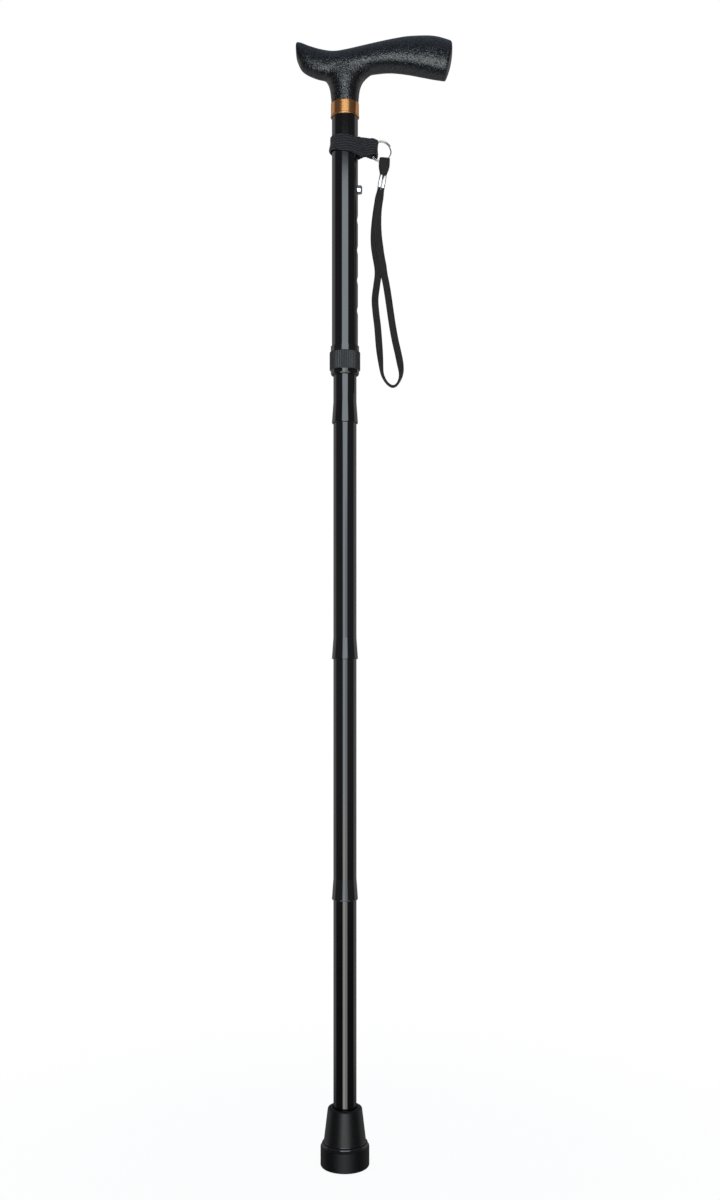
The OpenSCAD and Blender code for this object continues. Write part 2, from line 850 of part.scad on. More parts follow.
handle();
handle_collar();
upper_tube();
lock_bush();
lock_ring();
inner_tube();
snap_clip();
upper_cord_anchor();
elastic_cord_1();
elastic_cord_2();
elastic_cord_3();
elastic_cord_4();
joint_plug(mouth_1_z);  // joint_plug_1
joint_plug(mouth_2_z);  // joint_plug_2
joint_plug(mouth_3_z);  // joint_plug_3
second_tube();
third_tube();
lower_tube();
lower_cord_anchor();
ferrule();
ferrule_washer();
strap_band();
split_ring();
strap_eye();
strap_crimp();
wrist_loop();
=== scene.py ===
# Looks of the folding cane: its finishes, the moulded handle, the elastic cord and the wrist strap.
# Metres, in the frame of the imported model: +Z up, the grip along X, the origin under the ferrule.
import json
import math

import bmesh
import bpy
import numpy as np
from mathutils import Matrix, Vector


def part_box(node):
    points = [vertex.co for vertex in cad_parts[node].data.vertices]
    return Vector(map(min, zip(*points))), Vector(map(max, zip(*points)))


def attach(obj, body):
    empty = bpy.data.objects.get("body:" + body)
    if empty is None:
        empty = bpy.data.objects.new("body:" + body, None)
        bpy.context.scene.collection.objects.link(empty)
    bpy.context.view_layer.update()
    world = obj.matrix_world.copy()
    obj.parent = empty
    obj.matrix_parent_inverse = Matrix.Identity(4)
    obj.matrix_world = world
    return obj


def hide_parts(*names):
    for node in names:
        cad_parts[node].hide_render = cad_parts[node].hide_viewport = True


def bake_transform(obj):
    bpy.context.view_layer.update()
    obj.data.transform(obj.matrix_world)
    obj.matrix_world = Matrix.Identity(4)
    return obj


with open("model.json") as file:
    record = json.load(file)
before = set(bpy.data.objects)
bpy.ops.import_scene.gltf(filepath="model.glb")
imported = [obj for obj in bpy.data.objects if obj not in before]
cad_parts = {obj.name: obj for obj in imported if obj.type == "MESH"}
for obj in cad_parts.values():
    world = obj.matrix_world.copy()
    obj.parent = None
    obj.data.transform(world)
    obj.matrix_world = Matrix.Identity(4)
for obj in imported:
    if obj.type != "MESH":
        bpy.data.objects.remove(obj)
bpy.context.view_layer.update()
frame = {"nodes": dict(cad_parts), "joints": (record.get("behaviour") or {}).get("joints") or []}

MM = 0.001
nodes = frame["nodes"]
joints = {joint["name"]: joint for joint in frame["joints"]}

# The camera stands level in front of the cane. Pixels are those of the 720 x 1200 photograph.
PHOTO_H = 1200
FOCAL_PX = 1296.5
HORIZON_PX = 652.6
SENSOR_H = 24
CAMERA_PLACE = (0.0127, -1.093, 0.432)
CAMERA_NEAR = 0.01

# Studio light: a softbox in front, a white surround behind. Directions are in degrees, as turn and rise
# seen from the cane. A pair gives the two ends of a fade, or the place of an edge and half its softness.
SOFTBOX_CENTRE = 2
SOFTBOX_HALF_LOW = 22
SOFTBOX_HALF_HIGH = 27
SOFTBOX_WIDENS = (10.5, 1.5)
SOFTBOX_HALF_FLOOR = 50
SOFTBOX_FLOOR = (-31, 4)
SOFTBOX_SIDE = (0, 4)
SOFTBOX_HIGH = (20.6, 0.6)
SOFTBOX_LOW = (-62, 6)
SOFTBOX_FADES = (-55, -30)
SOFTBOX_LOW_SHARE = 0.9
SOFTBOX_DIM = 0.65
DIM_BELOW = (6.5, 2)
DIM_RIGHT = (2, 4)
SOFTBOX_LEVEL = 3.0
SURROUND_EDGE = (97, 6)
SURROUND_LOW = (-18, 2)
SURROUND_LOW_SHARE = 0.3
SURROUND_HIGH = (26, 3)
SURROUND_LEVEL = 0.5
BACK_LEVEL = 0.08
FRONT_LEVEL = 0.13
FRONT_HIGH = 0.085
FRONT_HIGH_FADES = (6, 18)
FRONT_LOW = 0.04
FRONT_LOW_FADES = (-14, -4)
CEILING_EDGE = (45, 15)
CEILING_LEVEL = 0.36
GROUND_EDGE = (-52, 12)
GROUND_LEVEL = 0.1
FAR_GROUND_SIDE = (97, 15)
FAR_GROUND_HIGH = (-25, 3)
FAR_GROUND_LOW = (-62, 12)
FAR_GROUND_LEVEL = 0.4
WARM_LIGHT = (1.0, 0.99, 0.92)
COOL_LIGHT = (0.83, 0.93, 1.0)
CEILING_LIGHT = (0.68, 0.8, 1.0)
PLAIN_LIGHT = (1.0, 0.95, 0.98)
PLAIN_WITHIN = (26, 4)
PLAIN_UNDER_LEVEL = (0.5, 0.4)
LIGHT_TINTS = [
    (-34, COOL_LIGHT), (-27, WARM_LIGHT), (-9, WARM_LIGHT),
    (-3, COOL_LIGHT), (21, COOL_LIGHT), (45, CEILING_LIGHT),
]
FLOOR_R = 0.5
FLOOR_FADES = (0.15, 0.5)
FLOOR_SIDES = 96
FLOOR_PALE = 0.8
FLOOR_CATCH = 0.2
FLOOR_GLOW = 0.93

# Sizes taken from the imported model
TUBE_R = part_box("upper_tube")[1][0]
SPIGOT_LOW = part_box("handle")[0][2]
COLLAR_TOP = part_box("handle_collar")[1][2]
HANDLE_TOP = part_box("handle")[1][2]
PALM_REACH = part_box("handle")[1][0]
BAND_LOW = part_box("strap_band")[0][2]
BAND_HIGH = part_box("strap_band")[1][2]
RING_LOW, RING_HIGH = (Vector(c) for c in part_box("split_ring"))
STRAP_TOP = Vector(joints["strap_swing"]["pos_m"])
CORD_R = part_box("elastic_cord_2")[1][0]


# Helpers for meshes

def mesh_of(name, verts, faces):
    mesh = bpy.data.meshes.new(name)
    mesh.from_pydata([tuple(v) for v in verts], [], faces)
    work = bmesh.new()
    work.from_mesh(mesh)
    bmesh.ops.recalc_face_normals(work, faces=work.faces)
    work.to_mesh(mesh)
    work.free()
    mesh.polygons.foreach_set("use_smooth", [True] * len(mesh.polygons))
    return mesh


def piece(name, mesh, finish):
    obj = bpy.data.objects.new(name, mesh)
    bpy.context.scene.collection.objects.link(obj)
    mesh.materials.clear()
    mesh.materials.append(finish)
    return obj


def built(name, shape, finish):
    """A piece from points and faces."""
    return piece(name, mesh_of(name, *shape), finish)


def loft(rings, closed=False):
    """Points and faces of a skin over rings of equal counts, capped unless it closes on itself."""
    count, sides = len(rings), len(rings[0])
    verts = [point for ring in rings for point in ring]
    faces = []
    for i in range(count if closed else count - 1):
        a, b = i * sides, (i + 1) % count * sides
        for k in range(sides):
            n = (k + 1) % sides
            faces.append((a + k, a + n, b + n, b + k))
    if not closed:
        faces.append(tuple(range(sides)))
        faces.append(tuple(range((count - 1) * sides, count * sides)))
    return verts, faces


def joined(parts):
    """Several (points, faces) pairs as one."""
    verts, faces = [], []
    for more_verts, more_faces in parts:
        start = len(verts)
        verts += list(more_verts)
        faces += [tuple(start + i for i in face) for face in more_faces]
    return verts, faces


def circle(r, sides):
    return [(r * math.cos(a), r * math.sin(a)) for a in np.linspace(0, 2 * math.pi, sides, endpoint=False)]


def level_ring(across, deep, z):
    """A ring of points at one height."""
    return np.column_stack([across, deep, np.full(len(across), z)])


def spline(points, steps):
    """A smooth curve through control points, with steps to each span."""
    p = np.array(points, float)
    p = np.vstack([2 * p[0] - p[1], p, 2 * p[-1] - p[-2]])
    out = []
    for i in range(1, len(p) - 2):
        a, b, c, d = p[i - 1:i + 3]
        for k in range(steps):
            t = k / steps
            out.append(0.5 * (2 * b + (c - a) * t + (2 * a - 5 * b + 4 * c - d) * t * t
                              + (3 * b - a - 3 * c + d) * t ** 3))
    return np.array(out + [p[-2]])


def smoothstep(low, high, x):
    t = np.clip((x - low) / (high - low), 0, 1)
    return t * t * (3 - 2 * t)


def power(v, p):
    return np.sign(v) * np.abs(v) ** p


# Helpers for materials

def finish(name, **sockets):
    mat = bpy.data.materials.new(name)
    mat.use_nodes = True
    shader = mat.node_tree.nodes["Principled BSDF"]
    for socket, value in sockets.items():
        shader.inputs[socket.replace("_", " ").title().replace("Ior", "IOR")].default_value = value
    return mat, shader


def add(tree, kind, inputs=None, **settings):
    node = tree.nodes.new(kind)
    for key, value in settings.items():
        setattr(node, key, value)
    for key, value in (inputs or {}).items():
        if isinstance(value, bpy.types.NodeSocket):
            tree.links.new(value, node.inputs[key])
        else:
            node.inputs[key].default_value = value
    return node


def place(tree, scale=(1, 1, 1), turn=(0, 0, 0)):
    """Coordinates on the piece in metres, scaled and turned."""
    coords = add(tree, "ShaderNodeTexCoord")
    settings = {"Vector": coords.outputs["Object"], "Scale": scale, "Rotation": turn}
    return add(tree, "ShaderNodeMapping", settings).outputs[0]


def noise(tree, vector, scale, detail=3.0, distortion=0.0):
    settings = {"Vector": vector, "Scale": scale, "Detail": detail, "Distortion": distortion}
    return add(tree, "ShaderNodeTexNoise", settings).outputs["Fac"]


def remap(tree, value, from_low, from_high, to_low, to_high, interpolation="LINEAR"):
    ends = {"From Min": from_low, "From Max": from_high, "To Min": to_low, "To Max": to_high}
    node = add(tree, "ShaderNodeMapRange", {"Value": value, **ends}, interpolation_type=interpolation)
    return node.outputs["Result"]


def edge(tree, value, place_and_soft, low, high):
    """Goes softly from low to high where value passes a place."""
    at, soft = place_and_soft
    return remap(tree, value, at - soft, at + soft, low, high, "SMOOTHSTEP")


def maths(tree, operation, *values):
    """One operation on a value, on a pair, or on more values in turn."""
    result = add(tree, "ShaderNodeMath", dict(enumerate(values[:2])), operation=operation).outputs[0]
    for value in values[2:]:
        result = add(tree, "ShaderNodeMath", {0: result, 1: value}, operation=operation).outputs[0]
    return result


def mixed(tree, factor, first, second, kind="RGBA"):
    """Goes from first to second, which are sockets or values."""
    node = add(tree, "ShaderNodeMix", {0: factor}, data_type=kind)
    ends = [i for i, socket in enumerate(node.inputs) if socket.enabled and socket.name in "AB"]
    for index, value in zip(ends, (first, second)):
        if isinstance(value, bpy.types.NodeSocket):
            tree.links.new(value, node.inputs[index])
        else:
            node.inputs[index].default_value = value
    return next(socket for socket in node.outputs if socket.enabled)


def shade(tree, factor, dark, light):
    ramp = add(tree, "ShaderNodeValToRGB", {"Fac": factor})
    for stop, colour in zip(ramp.color_ramp.elements, (dark, light)):
        stop.color = (*colour, 1)
    return ramp.outputs["Color"]


def relief(tree, shader, height, strength, depth):
    bump = add(tree, "ShaderNodeBump", {"Height": height, "Strength": strength, "Distance": depth})
    tree.links.new(bump.outputs["Normal"], shader.inputs["Normal"])


def vary(mat, shader, factor, dark, light, rough_low, rough_high):
    """Colour and roughness that follow one factor."""
    tree = mat.node_tree
    tree.links.new(shade(tree, factor, dark, light), shader.inputs["Base Color"])
    tree.links.new(remap(tree, factor, 0, 1, rough_low, rough_high), shader.inputs["Roughness"])


# The studio

def camera():
    data = bpy.data.cameras.new("camera")
    data.sensor_fit = "VERTICAL"
    data.sensor_height = SENSOR_H
    data.lens = SENSOR_H * FOCAL_PX / PHOTO_H
    data.shift_y = (HORIZON_PX - PHOTO_H / 2) / PHOTO_H
    data.clip_start = CAMERA_NEAR
    obj = bpy.data.objects.new("camera", data)
    obj.location = CAMERA_PLACE
    obj.rotation_euler = (math.pi / 2, 0, 0)
    bpy.context.scene.collection.objects.link(obj)
    bpy.context.scene.camera = obj


def softbox_level(tree, turn, rise):
    """The light in front: sharp at its upper end, wide towards the floor, and dimmer low at the right."""
    off_centre = maths(tree, "ABSOLUTE", maths(tree, "SUBTRACT", turn, SOFTBOX_CENTRE))
    half = maths(tree, "MAXIMUM", edge(tree, rise, SOFTBOX_WIDENS, SOFTBOX_HALF_LOW, SOFTBOX_HALF_HIGH),
                 edge(tree, rise, SOFTBOX_FLOOR, SOFTBOX_HALF_FLOOR, 0))
    across = edge(tree, maths(tree, "SUBTRACT", off_centre, half), SOFTBOX_SIDE, 1, 0)
    under = edge(tree, rise, SOFTBOX_HIGH, 1, 0)
    over = edge(tree, rise, SOFTBOX_LOW, 0, 1)
    fade = remap(tree, rise, *SOFTBOX_FADES, SOFTBOX_LOW_SHARE, 1, "SMOOTHSTEP")
    dim = edge(tree, rise, DIM_BELOW, SOFTBOX_DIM, 1)
    dim = mixed(tree, edge(tree, turn, DIM_RIGHT, 0, 1), 1, dim, "FLOAT")
    return maths(tree, "MULTIPLY", across, under, over, fade, dim, SOFTBOX_LEVEL)


def surround_level(tree, aside, rise):
    """The white surround behind, and the dim room in front."""
    level = remap(tree, aside, SURROUND_EDGE[0], 180, SURROUND_LEVEL, BACK_LEVEL, "SMOOTHSTEP")
    behind = edge(tree, aside, SURROUND_EDGE, 0, 1)
    over = edge(tree, rise, SURROUND_LOW, SURROUND_LOW_SHARE, 1)
    under = edge(tree, rise, SURROUND_HIGH, 1, 0)
    front = maths(tree, "MINIMUM", remap(tree, rise, *FRONT_HIGH_FADES, FRONT_LEVEL, FRONT_HIGH),
                  remap(tree, rise, *FRONT_LOW_FADES, FRONT_LOW, FRONT_LEVEL))
    return maths(tree, "ADD", maths(tree, "MULTIPLY", level, behind, over, under), front)


def ground_level(tree, aside, rise):
    """The pale ground below, and further off behind the cane."""
    far = maths(tree, "MULTIPLY", edge(tree, aside, FAR_GROUND_SIDE, 0, FAR_GROUND_LEVEL),
                edge(tree, rise, FAR_GROUND_HIGH, 1, 0), edge(tree, rise, FAR_GROUND_LOW, 0, 1))
    return maths(tree, "MAXIMUM", edge(tree, rise, GROUND_EDGE, GROUND_LEVEL, 0), far)


def light_colour(tree, softbox, rise):
    """Tints that change with the rise, and a plain colour for the dim parts near the level."""
    tint = add(tree, "ShaderNodeValToRGB", {"Fac": remap(tree, rise, -90, 90, 0, 1)})
    stops = tint.color_ramp.elements
    while len(stops) < len(LIGHT_TINTS):
        stops.new(0.5)
    for stop, (at, colour) in zip(stops, LIGHT_TINTS):
        stop.position = (at + 90) / 180
        stop.color = (*colour, 1)
    near_level = edge(tree, maths(tree, "ABSOLUTE", rise), PLAIN_WITHIN, 1, 0)
    plain = maths(tree, "MULTIPLY", edge(tree, softbox, PLAIN_UNDER_LEVEL, 1, 0), near_level)
    return mixed(tree, plain, tint.outputs["Color"], (*PLAIN_LIGHT, 1))


def studio_world():
    world = bpy.data.worlds.new("studio")
    bpy.context.scene.world = world
    world.use_nodes = True
    tree = world.node_tree
    tree.nodes.clear()
    way = add(tree, "ShaderNodeSeparateXYZ", {0: add(tree, "ShaderNodeTexCoord").outputs["Generated"]})
    ahead = maths(tree, "MULTIPLY", way.outputs["Y"], -1)
    turn = maths(tree, "DEGREES", maths(tree, "ARCTAN2", way.outputs["X"], ahead))
    rise = maths(tree, "DEGREES", maths(tree, "ARCSINE", way.outputs["Z"]))
    aside = maths(tree, "ABSOLUTE", turn)
    softbox = softbox_level(tree, turn, rise)
    ceiling = edge(tree, rise, CEILING_EDGE, 0, CEILING_LEVEL)
    level = maths(tree, "MAXIMUM", softbox, surround_level(tree, aside, rise), ceiling,
                  ground_level(tree, aside, rise))
    colour = light_colour(tree, softbox, rise)
    light = add(tree, "ShaderNodeBackground", {"Color": colour, "Strength": level})
    white = add(tree, "ShaderNodeBackground", {"Color": (1, 1, 1, 1), "Strength": 1})
    seen = add(tree, "ShaderNodeLightPath").outputs["Is Camera Ray"]
    both = add(tree, "ShaderNodeMixShader", {0: seen, 1: light.outputs[0], 2: white.outputs[0]})
    out = add(tree, "ShaderNodeOutputWorld")
    tree.links.new(both.outputs[0], out.inputs["Surface"])


def pale_floor():
    """Shows white with a soft shadow, fades into the white surround, and reflects as that surround."""
    mat = bpy.data.materials.new("pale_floor")
    mat.use_nodes = True
    tree = mat.node_tree
    tree.nodes.clear()
    path = add(tree, "ShaderNodeLightPath")
    spot = add(tree, "ShaderNodeTexCoord").outputs["Object"]
    away = add(tree, "ShaderNodeVectorMath", {0: spot}, operation="LENGTH").outputs["Value"]
    fade = remap(tree, away, *FLOOR_FADES, 0, 1, "SMOOTHSTEP")
    pale = add(tree, "ShaderNodeBsdfDiffuse", {"Color": (FLOOR_PALE, FLOOR_PALE, FLOOR_PALE, 1)})
    catch = add(tree, "ShaderNodeBsdfDiffuse", {"Color": (FLOOR_CATCH, FLOOR_CATCH, FLOOR_CATCH, 1)})
    glow = add(tree, "ShaderNodeEmission", {"Color": (1, 1, 1, 1), "Strength": FLOOR_GLOW})
    white = add(tree, "ShaderNodeEmission", {"Color": (1, 1, 1, 1), "Strength": 1})
    clear = add(tree, "ShaderNodeBsdfTransparent")
    lit = add(tree, "ShaderNodeAddShader", {0: catch.outputs[0], 1: glow.outputs[0]})
    shown = add(tree, "ShaderNodeMixShader", {0: fade, 1: lit.outputs[0], 2: white.outputs[0]})
    seen = path.outputs["Is Camera Ray"]
    by_ray = add(tree, "ShaderNodeMixShader", {0: seen, 1: pale.outputs[0], 2: shown.outputs[0]})
    mirror = maths(tree, "MAXIMUM", path.outputs["Is Glossy Ray"], path.outputs["Is Transmission Ray"])
    both = add(tree, "ShaderNodeMixShader", {0: mirror, 1: by_ray.outputs[0], 2: clear.outputs[0]})
    out = add(tree, "ShaderNodeOutputMaterial")
    tree.links.new(both.outputs[0], out.inputs["Surface"])
    return mat


def floor():
    """A round floor that goes down with the foot when the cane is set longer."""
    verts = [(0, 0, 0)] + [(x, y, 0) for x, y in circle(FLOOR_R, FLOOR_SIDES)]
    faces = [(0, 1 + k, 1 + (k + 1) % FLOOR_SIDES) for k in range(FLOOR_SIDES)]
    mesh = mesh_of("floor", verts, faces)
    mesh.materials.append(pale_floor())
    obj = bpy.data.objects.new("floor", mesh)
    bpy.context.scene.collection.objects.link(obj)
    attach(obj, "inner_section")


# Finishes
GRAIN_SIZE = 1.7 * MM
GRAIN_STIR = 1.1 * MM
GRAIN_IOR = (1.4, 1.95)
PLASTIC_IOR = 1.5
GLOSS_IOR = 1.75
FOOT_BLACK = (0.004, 0.004, 0.005, 1)
FOOT_EDGE = 0.05 * MM
LOCK_FOOT = 4.2 * MM
FERRULE_BASE = 17.2 * MM


def grained_plastic():
    """Black plastic with a leather grain, whose gloss changes from spot to spot."""
    mat, shader = finish("grained_plastic")
    tree = mat.node_tree
    spot = place(tree)
    stir = add(tree, "ShaderNodeTexNoise", {"Vector": spot, "Scale": 500, "Detail": 2})
    moved = add(tree, "ShaderNodeVectorMath", {0: stir.outputs["Color"], 1: (GRAIN_STIR,) * 3, 2: spot},
                operation="MULTIPLY_ADD").outputs[0]
    cells = add(tree, "ShaderNodeTexVoronoi", {"Vector": moved, "Scale": 1 / GRAIN_SIZE},
                feature="DISTANCE_TO_EDGE")
    pebble = remap(tree, cells.outputs["Distance"], 0, 0.3, 0, 1, "SMOOTHSTEP")
    tone = maths(tree, "MULTIPLY", pebble, noise(tree, spot, 420, 2))
    vary(mat, shader, tone, (0.002, 0.0021, 0.003), (0.006, 0.0062, 0.0085), 0.28, 0.2)
    tilt = noise(tree, spot, 850, 1)
    tree.links.new(remap(tree, tilt, 0.34, 0.66, *GRAIN_IOR), shader.inputs["IOR"])
    relief(tree, shader, maths(tree, "ADD", pebble, maths(tree, "MULTIPLY", tilt, 1.5)), 0.5, 0.2 * MM)
    return mat


def gloss_black():
    mat, shader = finish("gloss_black", ior=GLOSS_IOR)
    tree = mat.node_tree
    drawn = noise(tree, place(tree, (1, 1, 0.01)), 2600, 2)
    tone = maths(tree, "MULTIPLY", drawn, noise(tree, place(tree), 160, 4))
    vary(mat, shader, tone, (0.002, 0.002, 0.003), (0.008, 0.008, 0.01), 0.045, 0.12)
    relief(tree, shader, drawn, 0.05, 0.02 * MM)
    return mat


def bronze():
    mat, shader = finish("satin_bronze", metallic=1.0)
    tree = mat.node_tree
    drawn = noise(tree, place(tree, (0.02, 0.02, 1)), 6000, 3)
    vary(mat, shader, drawn, (0.8, 0.36, 0.12), (1.0, 0.5, 0.2), 0.3, 0.2)
    relief(tree, shader, drawn, 0.06, 0.03 * MM)
    return mat


def moulded(name, dark, light, rough_low, rough_high, ior=PLASTIC_IOR):
    mat, shader = finish(name, ior=ior)
    tree = mat.node_tree
    speck = noise(tree, place(tree), 1800, 4)
    vary(mat, shader, speck, dark, light, rough_low, rough_high)
    relief(tree, shader, speck, rough_low / 4, 0.06 * MM)
    return mat


def darker_foot(mat, height, ior, rough):
    """Gives a finish a darker base and another gloss below a height on the piece."""
    tree = mat.node_tree
    shader = tree.nodes["Principled BSDF"]
    level = add(tree, "ShaderNodeSeparateXYZ", {0: place(tree)}).outputs["Z"]
    above = remap(tree, level, height - FOOT_EDGE, height + FOOT_EDGE, 0, 1)
    for name, low, kind in (("Base Color", FOOT_BLACK, "RGBA"), ("Roughness", rough, "FLOAT")):
        socket = shader.inputs[name]
        tree.links.new(mixed(tree, above, low, socket.links[0].from_socket, kind), socket)
    tree.links.new(remap(tree, above, 0, 1, ior, PLASTIC_IOR), shader.inputs["IOR"])


# painted_edge_shade tints the metal's reflection grey at grazing angles: painted shade on the edges,
# standing in for the dark room they reflect.
def steel(name, dark, light, rough_low, rough_high, painted_edge_shade=0.3):
    mat, shader = finish(name, metallic=1.0, specular_tint=(painted_edge_shade, painted_edge_shade, painted_edge_shade, 1))
    tree = mat.node_tree
    smear = noise(tree, place(tree), 700, 5, 0.4)
    vary(mat, shader, smear, dark, light, rough_low, rough_high)
    relief(tree, shader, smear, 0.03, 0.02 * MM)
    return mat


def rubber():
    mat, shader = finish("matte_rubber", specular_ior_level=0.45)
    tree = mat.node_tree
    speck = noise(tree, place(tree), 3200, 3)
    tone = maths(tree, "MULTIPLY", noise(tree, place(tree), 260, 6, 0.5), speck)
    vary(mat, shader, tone, (0.003, 0.003, 0.0032), (0.014, 0.014, 0.0142), 0.42, 0.32)
    relief(tree, shader, speck, 0.2, 0.06 * MM)
    return mat


# A wave texture of scale 1 repeats after this length
WAVE = math.pi / 10
WEAVE_TURN = 0.8


def woven(name, dark, light, pitch, ribs=None):
    """Fabric with a fine diagonal weave of the given pitch and, where ribs is given, level bands of
    painted shade of that pitch, standing in for the shade between the webbing's ribs.
    """
    mat, shader = finish(name, roughness=0.85, sheen_weight=0.35, sheen_roughness=0.45,
                         sheen_tint=(0.5, 0.5, 0.52, 1), specular_ior_level=0.2)
    tree = mat.node_tree

    def wave(vector, repeat, axis, distortion=0.0):
        settings = {"Vector": vector, "Scale": WAVE / repeat, "Distortion": distortion}
        return add(tree, "ShaderNodeTexWave", settings, bands_direction=axis).outputs["Fac"]

    threads = []
    for turn in (WEAVE_TURN, -WEAVE_TURN):
        slanted = place(tree, turn=(0, turn, turn))
        threads.append(maths(tree, "ADD", *(wave(slanted, pitch, axis, 0.3) for axis in "XY")))
    weave = maths(tree, "MULTIPLY", *threads)
    fuzz = noise(tree, place(tree), 2500, 4)
    tone = maths(tree, "MULTIPLY", weave, fuzz)
    # Painted shade: level colour bands along Z darken the weave as if between ribs.
    if ribs:
        tone = maths(tree, "MULTIPLY", maths(tree, "ADD", tone, 0.3), wave(place(tree), ribs, "Z"))
    tree.links.new(shade(tree, tone, dark, light), shader.inputs["Base Color"])
    relief(tree, shader, maths(tree, "ADD", weave, fuzz), 0.35, 0.08 * MM)
    return mat


BLACK_TUBE = gloss_black()
HANDLE_PLASTIC = grained_plastic()
BRONZE = bronze()
LOCK_PLASTIC = moulded("lock_plastic", (0.016, 0.016, 0.018), (0.046, 0.046, 0.049), 0.2, 0.3)
darker_foot(LOCK_PLASTIC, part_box("lock_ring")[0][2] + LOCK_FOOT, ior=GLOSS_IOR, rough=0.07)
BUSH_PLASTIC = moulded("bush_plastic", (0.002, 0.002, 0.003), (0.008, 0.008, 0.01), 0.05, 0.1, GLOSS_IOR)
PLUG_PLASTIC = moulded("plug_plastic", (0.02, 0.02, 0.022), (0.045, 0.045, 0.048), 0.42, 0.58)
BRIGHT_STEEL = steel("bright_steel", (0.56, 0.57, 0.59), (0.76, 0.76, 0.77), 0.1, 0.2)
RING_STEEL = steel("ring_steel", (0.3, 0.29, 0.27), (0.62, 0.6, 0.57), 0.1, 0.18, painted_edge_shade=0.1)
CRIMP_STEEL = steel("crimp_steel", (0.9, 0.9, 0.89), (1.0, 1.0, 0.99), 0.18, 0.26, painted_edge_shade=0.1)
WASHER_STEEL = steel("washer_steel", (0.4, 0.41, 0.43), (0.55, 0.55, 0.56), 0.3, 0.45)
RUBBER = rubber()
darker_foot(RUBBER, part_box("ferrule")[0][2] + FERRULE_BASE, ior=1.36, rough=0.5)
STEP_RUBBER = moulded("step_rubber", (0.003, 0.003, 0.0035), (0.01, 0.01, 0.011), 0.1, 0.16, GLOSS_IOR)
# The webbing's colour carries level bands of painted rib shade.
WEBBING = woven("ribbed_webbing", (0.011, 0.011, 0.013), (0.054, 0.053, 0.06), 0.5 * MM, ribs=2.1 * MM)
BRAID = woven("flat_braid", (0.007, 0.0063, 0.0058), (0.046, 0.041, 0.038), 0.4 * MM)
ELASTIC = woven("elastic_braid", (0.015, 0.015, 0.017), (0.08, 0.08, 0.085), 0.35 * MM)
THREAD = woven("black_thread", (0.006, 0.006, 0.007), (0.05, 0.05, 0.055), 0.2 * MM)

NODE_FINISHES = {
    "upper_tube": BLACK_TUBE,
    "inner_tube": BLACK_TUBE,
    "second_tube": BLACK_TUBE,
    "third_tube": BLACK_TUBE,
    "lower_tube": BLACK_TUBE,
    "lock_bush": BUSH_PLASTIC,
    "upper_cord_anchor": PLUG_PLASTIC,
    "lower_cord_anchor": PLUG_PLASTIC,
    "joint_plug_1": PLUG_PLASTIC,
    "joint_plug_2": PLUG_PLASTIC,
    "joint_plug_3": PLUG_PLASTIC,
    "ferrule": RUBBER,
    "ferrule_washer": WASHER_STEEL,
}


def dress_nodes():
    for name, mat in NODE_FINISHES.items():
        mesh = nodes[name].data
        mesh.materials.clear()
        mesh.materials.append(mat)


# Shared by the strap pieces

def ribbed(width, thick, ribs, rib_depth, round_power=4, per_rib=6):
    """Outline of a flat ribbed strip as (across, out) pairs: one face, then the other."""
    u = np.linspace(-1, 1, ribs * per_rib + 1)
    swell = (1 - np.abs(u) ** round_power) ** (1 / 2)
    groove = rib_depth * (0.5 + 0.5 * np.cos(np.pi * ribs * (u + 1)))
    face = np.maximum(swell * (thick / 2 - groove), 0)
    top = [(a * width / 2, b) for a, b in zip(u, face)]
    return top + [(a, -b) for a, b in reversed(top[1:-1])]


def swept(path, sides, sections, closed=False):
    """Rings of sections along a path; sides gives the direction across at each point."""
    rings = []
    count = len(path)
    for i, point in enumerate(path):
        after = path[(i + 1) % count if closed else min(i + 1, count - 1)]
        before = path[i - 1 if closed else max(i - 1, 0)]
        along = (after - before) / np.linalg.norm(after - before)
        across = sides[i] - along * np.dot(sides[i], along)
        across = across / np.linalg.norm(across)
        out = np.cross(along, across)
        rings.append([point + across * a + out * b for a, b in sections[i]])
    return rings


# The wrist loop. Its route starts at the crimp, goes down the left leg, round and up the right leg,
# and is given in millimetres from the point where the strap hangs on the ring.
LOOP = [
    (-4.5, 0, -22), (-4.9, 0.8, -27.6), (-5.5, 1.4, -33.4), (-6.8, 1.4, -41.8), (-7.9, 1.4, -50.2),
    (-8.7, 1.4, -58.6), (-8.9, 1.4, -66.2), (-8.5, 1.4, -73), (-7.5, 1.4, -79.7), (-6.0, 1.4, -88.2),
    (-5.5, 1.4, -93.2), (-5.7, 1.4, -98.3), (-6.6, 1.4, -105), (-8.0, 1.2, -116.8), (-7.2, 1.1, -128.6),
    (-5.8, 1, -140.4), (-4.4, 0.8, -158), (-3.2, 0.5, -170), (-2.1, 0.3, -179), (0.3, 0.1, -185),
    (3.6, 0, -189), (7.2, 0, -190.5), (10.4, -0.1, -188.8), (13, -0.2, -184), (13.9, -0.3, -179),
    (13.4, -0.5, -173), (11.7, -0.8, -164), (9, -1, -152.2), (6.8, -1.1, -140.4), (5, -1.2, -128.6),
    (3.3, -1.3, -116.8), (1.4, -1.4, -105), (0, -1.4, -98.3), (-0.8, -1.4, -93.2), (-1.5, -1.4, -88.2),
    (-3.1, -1.4, -79.7), (-4.0, -1.4, -73), (-4.9, -1.4, -66.2), (-5.5, -1.4, -58.6), (-5.6, -1.4, -50.2),
    (-5.2, -1.4, -41.8), (-4, -1.4, -33.4), (-2.6, -0.8, -28.5), (-1.2, 0, -23.4),
]
BRAID_W = 5.85 * MM
BRAID_T = 2.0 * MM
BRAID_RIBS = 4
BRAID_RIB_DEPTH = 0.14 * MM
PINCH_W = 2.6 * MM
PINCH_LEN = 11 * MM
TWIST_FROM = (148 * MM, 166 * MM)
TWIST_TO = 190 * MM
LOOP_STEPS = 8


